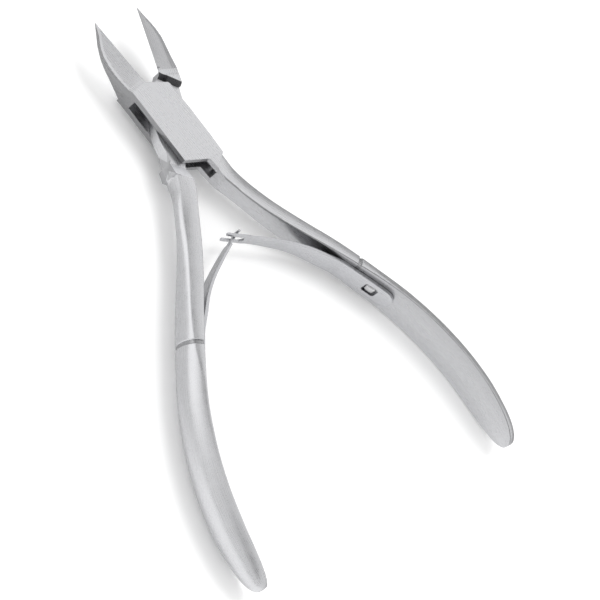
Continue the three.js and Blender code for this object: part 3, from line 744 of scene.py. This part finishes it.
# painted shade and highlight on the female lever's faces
def female_painted_shading(centre, normal):
    if in_groove(centre):
        return GROOVE_PAINTED_SHADE
    (x, y), z = rot2(centre[:2], -OPEN), centre[2]
    normal_x, normal_z = rot2(normal[:2], -OPEN)[0], normal[2]
    in_slot = abs(z) < 1.32 and -14.5 < y < 8.4 and (abs(normal_z) > 0.9 or x > -3.1)
    if in_slot and math.hypot(x, y) > PIN_RIM_R:
        return FEMALE_PAINTED_SHADING["slot"]
    if y > -9.0 and x < -0.05 and normal_x < -0.55 and abs(normal_z) < 0.6:
        return FEMALE_PAINTED_SHADING["outer_side"]
    if y > 8.6 and normal_z > 0.5:
        reach = jaw_row(min(y, JAW[-1, 0]))[0]
        strip = min(0.62 * min(1.0, (y - 8.6) / 5.5), 0.35 * reach)
        if -x > reach - strip:
            return FEMALE_PAINTED_SHADING["crease"]
        return FEMALE_PAINTED_SHADING["by_crease" if -x > reach - strip - 0.55 else "grind"]
    if centre[1] < SHANK_TOP_Y and z > 0 and normal_z > 0.25:
        distance, outwards = from_inner_face(centre, normal)
        if abs(distance) < 0.3 and outwards < -0.12:
            return FEMALE_PAINTED_SHADING["inner_rim"]
    return PLAIN


def male_painted_shading(centre, normal):
    """Painted shade and highlight on the male lever's faces, given mirrored to the female side."""
    if in_groove(centre):
        return GROOVE_PAINTED_SHADE
    (x, y), z = rot2(centre[:2], -OPEN), centre[2]
    (normal_x, normal_y), normal_z = rot2(normal[:2], -OPEN), normal[2]
    if 3.5 < y < 9.4 and normal_y < -0.5 and x > -4.6 and z > 0:
        return MALE_PAINTED_SHADING["shoulder"]
    if -8.0 < y < 8.0 and abs(z) < 1.15 and math.hypot(x, y) > PIN_RIM_R:
        return MALE_PAINTED_SHADING["tongue"]
    if y > 9.0 and normal_z > 0.5:
        reach = jaw_row(min(y, JAW[-1, 0]))[0]
        return MALE_PAINTED_SHADING["grind" if -x < 0.8 * reach else "crease"]
    if normal_x > 0.5 and abs(normal_z) < 0.75 and -10.9 < y < 8:
        return MALE_PAINTED_SHADING["joint_side"]
    if -16.0 < y < -6.5 and z > 1.2 and 0.2 < normal_z < 0.93 and normal_y > 0.3:
        return MALE_PAINTED_SHADING["ramp"]
    return PLAIN


def is_inner(centre, normal):
    """1 on the flat inner faces of shank and grip, which get a painted gradient across their width,
    lighter at the bottom and darker at the top.
    """
    if centre[1] > SHANK_TOP_Y:
        return 0.0
    return 1.0 if from_inner_face(centre, normal)[1] < -0.9 else 0.0


def add_attributes(data, side, grain, tone_and_painted_shading):
    """grain per point; per face, the painted shade and highlight and the inner-face mask; side is -1 on
    parts mirrored in X.
    """
    flip = (side, 1, 1)
    points = np.array([v.co for v in data.vertices], float).reshape(-1, 3) * flip
    layer = data.attributes.new("grain", "FLOAT_VECTOR", "POINT")
    layer.data.foreach_set("vector", grain(*points.T).astype(np.float32).ravel())
    faces = [(np.array(f.center) * flip, np.array(f.normal) * flip) for f in data.polygons]
    for name, value, plain in (("tone_and_painted_shading", tone_and_painted_shading, PLAIN), ("inner", is_inner, 0.0)):
        layer = data.attributes.new(name, "FLOAT", "FACE")
        layer.data.foreach_set("value", [value(*face) if tone_and_painted_shading else plain for face in faces])


def finish_piece(solid, name, material, side=1, grain=lever_grain, tone_and_painted_shading=None, sharp_angle=26.0):
    """Clean the mesh, mark sharp edges, add attributes and move it into place in metres."""
    bm = bmesh.new()
    bm.from_mesh(solid.data)
    bmesh.ops.remove_doubles(bm, verts=bm.verts, dist=2e-4)
    bmesh.ops.dissolve_degenerate(bm, edges=bm.edges, dist=1e-4)
    big = [f for f in bm.faces if len(f.verts) > 4]
    bmesh.ops.triangulate(bm, faces=big, quad_method="BEAUTY", ngon_method="BEAUTY")
    loose = [v for v in bm.verts if not v.link_faces]
    bmesh.ops.delete(bm, geom=loose, context="VERTS")
    face_outwards(bm)
    limit = math.radians(sharp_angle)
    for face in bm.faces:
        face.smooth = True
    for edge in bm.edges:
        edge.smooth = len(edge.link_faces) == 2 and edge.calc_face_angle(0.0) < limit
    data = bpy.data.meshes.new(name)
    bm.to_mesh(data)
    bm.free()
    add_attributes(data, side, grain, tone_and_painted_shading)
    data.transform(Matrix.Scale(0.001, 4) @ Matrix.Translation(Vector(PIVOT)))
    data.materials.append(material)
    old = solid.data
    solid.data = data
    bpy.data.meshes.remove(old)
    solid.name = name
    normals = solid.modifiers.new("normals", "WEIGHTED_NORMAL")
    normals.keep_sharp, normals.weight, normals.mode = True, 60, "FACE_AREA"
    return solid


# ---------------------------------------------------------------- node graphs
class Graph:
    """Short ways to add nodes; an input is given a value or an output to link."""

    def __init__(self, tree):
        self.tree = tree

    def feed(self, socket, value):
        if isinstance(value, bpy.types.NodeSocket):
            self.tree.links.new(value, socket)
        else:
            socket.default_value = value

    def node(self, kind, inputs=None, **settings):
        made = self.tree.nodes.new("ShaderNode" + kind)
        for key, value in settings.items():
            setattr(made, key, value)
        for key, value in (inputs or {}).items():
            self.feed(made.inputs[key], value)
        return made

    def attribute(self, name, output="Fac"):
        return self.node("Attribute", attribute_name=name).outputs[output]

    def map_range(self, value, start, end, low, high, **settings):
        inputs = {"Value": value, "From Min": start, "From Max": end, "To Min": low, "To Max": high}
        return self.node("MapRange", inputs, **settings).outputs["Result"]

    def math(self, operation, first, second):
        return self.node("Math", {0: first, 1: second}, operation=operation).outputs[0]

    def vector_math(self, operation, inputs, output=0):
        return self.node("VectorMath", inputs, operation=operation).outputs[output]


# ---------------------------------------------------------------- satin steel
BEVEL_FADE = (0.0022, 0.0024)      # m from the pivot axis: no soft edges inside, full outside


def steel_normal(graph, bevel, height):
    """Softened edges, except round the pin, under a faint brushed relief."""
    soft = graph.node("Bevel", {"Radius": bevel * 0.001}, samples=4)
    position = graph.node("TexCoord").outputs["Object"]
    geometry = graph.node("NewGeometry")
    offset = graph.vector_math("SUBTRACT", {0: position, 1: tuple(PIVOT / 1000)})
    flat = graph.vector_math("MULTIPLY", {0: offset, 1: (1, 1, 0)})
    distance = graph.vector_math("LENGTH", {0: flat}, output="Value")
    softened = graph.map_range(distance, *BEVEL_FADE, 0.0, 1.0)
    # 4 and 5 are the vector inputs A and B, 1 is the vector result
    normal = graph.node("Mix", {"Factor": softened, 4: geometry.outputs["Normal"],
                                5: soft.outputs[0]}, data_type="VECTOR").outputs[1]
    return graph.node("Bump", {"Strength": 0.05, "Distance": 0.00002, "Height": height,
                               "Normal": normal}).outputs[0]


def steel(name, base, rough, streak, mottle, bevel):
    """streak and mottle: swing of the tone by brushing and by clouds; bevel in mm."""
    material = bpy.data.materials.new(name)
    material.use_nodes = True
    material.node_tree.nodes.clear()
    graph = Graph(material.node_tree)
    grain = graph.attribute("grain", "Vector")

    def noise(along, across, detail, roughness):
        scaled = graph.node("Mapping", {"Scale": (along, across, across), "Vector": grain})
        return graph.node("TexNoise", {"Scale": 1.0, "Detail": detail, "Roughness": roughness,
                                       "Vector": scaled.outputs[0]}).outputs["Fac"]

    def swing(value, low, high):
        return graph.map_range(value, 0.3, 0.7, low, high)

    brushing = noise(along=0.10, across=5.0, detail=5.0, roughness=0.6)
    fine = noise(along=0.35, across=16.0, detail=3.0, roughness=0.6)
    cloud = noise(along=0.55, across=0.9, detail=4.0, roughness=0.6)
    speck = noise(along=5.5, across=7.0, detail=2.0, roughness=0.5)

    tone_and_painted_shading = graph.math("ADD", swing(brushing, -streak, streak), swing(cloud, -mottle, mottle))
    tone_and_painted_shading = graph.math("ADD", tone_and_painted_shading, swing(speck, -mottle * 1.3, mottle * 1.3))
    tone_and_painted_shading = graph.math("ADD", tone_and_painted_shading, 1.0)
    # painted shade and highlight per face multiply the colour
    painted_face_shading = graph.attribute("tone_and_painted_shading")
    tone_and_painted_shading = graph.math("MULTIPLY", tone_and_painted_shading, painted_face_shading)
    # painted gradient on the grips' inner faces: lighter at the bottom, darker at the top
    inner = graph.attribute("inner")
    across_face = graph.node("SeparateXYZ", {0: grain}).outputs["Z"]
    painted_inner_gradient = graph.math("MULTIPLY", inner, graph.map_range(across_face, -4.7, 4.7, 0.15, -0.28))
    tone_and_painted_shading = graph.math("MULTIPLY", tone_and_painted_shading, graph.math("ADD", painted_inner_gradient, 1.0))
    color = graph.vector_math("SCALE", {0: base, "Scale": tone_and_painted_shading})

    roughness = graph.math("ADD", swing(brushing, rough - 0.04, rough + 0.05),
                           swing(cloud, -0.03, 0.03))
    # faces painted brighter than satin are also rougher
    roughness = graph.math("ADD", roughness, graph.map_range(painted_face_shading, 1.0, 1.6, 0.0, 0.38))
    height = graph.math("ADD", graph.math("MULTIPLY", brushing, 0.4),
                        graph.math("MULTIPLY", fine, 0.5))
    height = graph.math("ADD", height, graph.math("MULTIPLY", speck, 0.18))
    shader = graph.node("BsdfPrincipled", {
        "Metallic": 1.0, "Base Color": color, "Roughness": roughness,
        "Normal": steel_normal(graph, bevel, height)})
    graph.node("OutputMaterial", {0: shader.outputs[0]})
    return material


SATIN = dict(base=(0.566, 0.568, 0.582), rough=0.28, streak=0.035, mottle=0.03)
lever_steel = steel("lever_satin_steel", **SATIN, bevel=0.09)
pin_steel = steel("pin_satin_steel", **SATIN, bevel=0.02)
leaf_steel = steel("spring_satin_steel", base=(0.492, 0.495, 0.512), rough=0.27, streak=0.03,
                   mottle=0.02, bevel=0.06)
stud_steel = steel("stud_steel", base=(0.47, 0.47, 0.48), rough=0.16, streak=0.02, mottle=0.02,
                   bevel=0.03)

# ---------------------------------------------------------------- building the pieces
handle = handle_solid()
male_handle = mirrored(handle, keep=True)
female = finish_piece(female_lever(handle, grind_cutter(FEMALE_CREASE)), "female_lever_body",
                      lever_steel, tone_and_painted_shading=female_painted_shading)
male = finish_piece(male_lever(male_handle, mirrored(grind_cutter(MALE_CREASE))),
                    "male_lever_body", lever_steel, side=-1, tone_and_painted_shading=male_painted_shading)
pin = finish_piece(rod(PIN_R + PIN_SWELL), "pivot_pin_flush", pin_steel)
right_leaf = finish_piece(cut(leaf_solid(fork_stations(), fork_width), fork_slot()),
                          "right_leaf_spring", leaf_steel, grain=leaf_grain)
left_leaf = finish_piece(mirrored(leaf_solid(tee_stations(), tee_width)), "left_leaf_spring",
                         leaf_steel, side=-1, grain=leaf_grain)
right_stud = finish_piece(stud_solid(), "right_stud_rivet", stud_steel, sharp_angle=40)
left_stud = finish_piece(mirrored(stud_solid()), "left_stud_rivet", stud_steel, side=-1,
                         sharp_angle=40)

# piece, body it rides on, CAD node it replaces, slot
for piece, body, node, slot in (
        (female, "female", "female_lever", "lever_steel"),
        (male, "male", "male_lever", "lever_steel"),
        (pin, "female", "pivot_pin", "pin_steel"),
        (right_stud, "female", "right_spring_stud", "pin_steel"),
        (left_stud, "male", "left_spring_stud", "pin_steel")):
    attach(piece, body)
    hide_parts(node)

# ends of each leaf's bending part, which runs from the take-off to as far past its middle; the leaves
# are baked in place and their CAD parts hidden
flex_reach = LEAF_FLEX_S - LEAF_OFF_S
flex_ends = [LEAF.at(s)[0][0] for s in (LEAF_FLEX_S - flex_reach, LEAF_FLEX_S + flex_reach)]
for leaf, body, node, side in ((right_leaf, "female", "right_spring", 1),
                               (left_leaf, "male", "left_spring", -1)):
    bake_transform(leaf)
    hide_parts(node + "_foot", node + "_arm")


# ---------------------------------------------------------------- floor
def floor_material():
    """Pale paper: brighter to the camera, darker in the steel towards +X and +Y."""
    material = bpy.data.materials.new("pale_floor")
    material.use_nodes = True
    tree = material.node_tree
    tree.nodes.remove(tree.nodes["Principled BSDF"])
    graph = Graph(tree)
    noise = graph.node("TexNoise", {"Scale": 30.0}).outputs["Fac"]
    grey = graph.map_range(noise, 0.0, 1.0, 0.90, 0.92)
    paper = graph.node("CombineColor", {k: grey for k in range(3)}).outputs[0]
    camera_ray = graph.node("LightPath").outputs["Is Camera Ray"]
    gain = graph.map_range(camera_ray, 0.0, 1.0, low=1.24, high=1.17)   # to steel, to camera
    incoming = graph.node("NewGeometry").outputs["Incoming"]
    axes = graph.node("SeparateXYZ", {0: incoming}).outputs
    dark_x = graph.map_range(axes["X"], start=-0.75, end=-0.15, low=0.34, high=1.0)
    dark_y = graph.map_range(axes["Y"], start=-0.62, end=-0.38, low=0.66, high=1.0)
    dark = graph.math("MULTIPLY", dark_x, dark_y)
    shade = graph.math("MAXIMUM", dark, camera_ray)      # the camera sees no darkening
    scale = graph.math("MULTIPLY", shade, gain)
    color = graph.vector_math("SCALE", {0: paper, "Scale": scale})
    diffuse = graph.node("BsdfDiffuse", {"Color": color})
    graph.feed(tree.nodes["Material Output"].inputs["Surface"], diffuse.outputs[0])
    return material


FLOOR_HALF = 3.0                   # m
floor_z = cad_lo[2]
floor_corners = [(x * FLOOR_HALF, y * FLOOR_HALF, floor_z)
                 for x, y in ((-1, -1), (1, -1), (1, 1), (-1, 1))]
floor_mesh = bpy.data.meshes.new("floor")
floor_mesh.from_pydata(floor_corners, [], [(0, 1, 2, 3)])
floor_mesh.materials.append(floor_material())
link_object("floor", floor_mesh)

# ---------------------------------------------------------------- camera
CAMERA_YAW, CAMERA_PITCH, CAMERA_ROLL = 38.0, -4.1689, -29.6529      # degrees
AIM = np.array([0, -36.2, 0])                            # mm from the pivot
AIM_IN_VIEW = np.array([-7.0987, -2.2242, 474.4733346])  # mm right, down and ahead of the camera
LENS = 153.7293604                                       # mm


def view_rotation():
    """Rows are the camera's right, down and ahead directions."""
    yaw, pitch, roll = [math.radians(a) for a in (CAMERA_YAW, CAMERA_PITCH, CAMERA_ROLL)]
    cos, sin = math.cos, math.sin
    turn_y = np.array([[cos(yaw), 0, sin(yaw)], [0, 1, 0], [-sin(yaw), 0, cos(yaw)]])
    turn_x = np.array([[1, 0, 0], [0, cos(pitch), -sin(pitch)], [0, sin(pitch), cos(pitch)]])
    turn_z = np.array([[cos(roll), -sin(roll), 0], [sin(roll), cos(roll), 0], [0, 0, 1]])
    return turn_z @ np.diag([1, -1, -1]) @ turn_x @ turn_y


view = view_rotation()
camera_at = (-view.T @ AIM_IN_VIEW + AIM + PIVOT) / 1000
camera_axes = view.T * (1, -1, -1)        # columns: right, up, behind
camera_data = bpy.data.cameras.new("camera")
camera_data.sensor_width = 36.0
camera_data.lens = LENS
camera_data.clip_start, camera_data.clip_end = 0.01, 20
camera = link_object("camera", camera_data)
camera.matrix_world = Matrix([[*camera_axes[i], camera_at[i]] for i in range(3)] + [[0, 0, 0, 1]])
bpy.context.scene.camera = camera

# ---------------------------------------------------------------- world and light
WORLD_LEVEL = 0.98
# Brighter and darker patches: direction, degrees of full and of no effect, gain
LOBES = [
    ((-0.40, 0.90, 0.32), 8, 36, 0.55), ((0.614, 0.073, 0.786), 6, 26, 0.18),
    ((-0.03, 0.48, 0.875), 5, 16, -0.52), ((0.95, 0.26, 0.10), 6, 26, -0.46),
    ((-0.60, -0.10, 0.78), 6, 24, -0.30), ((-0.45, -0.52, 0.72), 6, 20, -0.45),
]


def build_world():
    world = bpy.data.worlds.new("studio")
    bpy.context.scene.world = world
    world.use_nodes = True
    world.node_tree.nodes.clear()
    graph = Graph(world.node_tree)
    towards = graph.node("TexCoord").outputs["Generated"]
    level = WORLD_LEVEL
    for direction, full, none, gain in LOBES:
        unit = np.array(direction) / np.linalg.norm(direction)
        cosine = graph.vector_math("DOT_PRODUCT", {0: towards, 1: tuple(unit)}, output="Value")
        lobe = graph.map_range(cosine, math.cos(math.radians(none)), math.cos(math.radians(full)),
                               0.0, gain, interpolation_type="SMOOTHSTEP")
        level = graph.math("ADD", level, lobe)
    background = graph.node("Background", {"Color": (1, 1, 1, 1), "Strength": level})
    graph.node("OutputWorld", {0: background.outputs[0]})


def key_light():
    """Disk light aimed at the origin; it lights the table, the steel reflects only the world."""
    data = bpy.data.lights.new("key", "AREA")
    data.shape, data.size, data.energy = "DISK", 0.62, 4.2
    key = link_object("key", data)
    key.location = (0.44, 0.02, 1.12)
    key.rotation_euler = (-Vector(key.location)).to_track_quat("-Z", "Y").to_euler()
    key.visible_glossy = False


build_world()
key_light()
bpy.context.scene.view_settings.view_transform = "Standard"
bpy.context.scene.view_settings.look = "None"
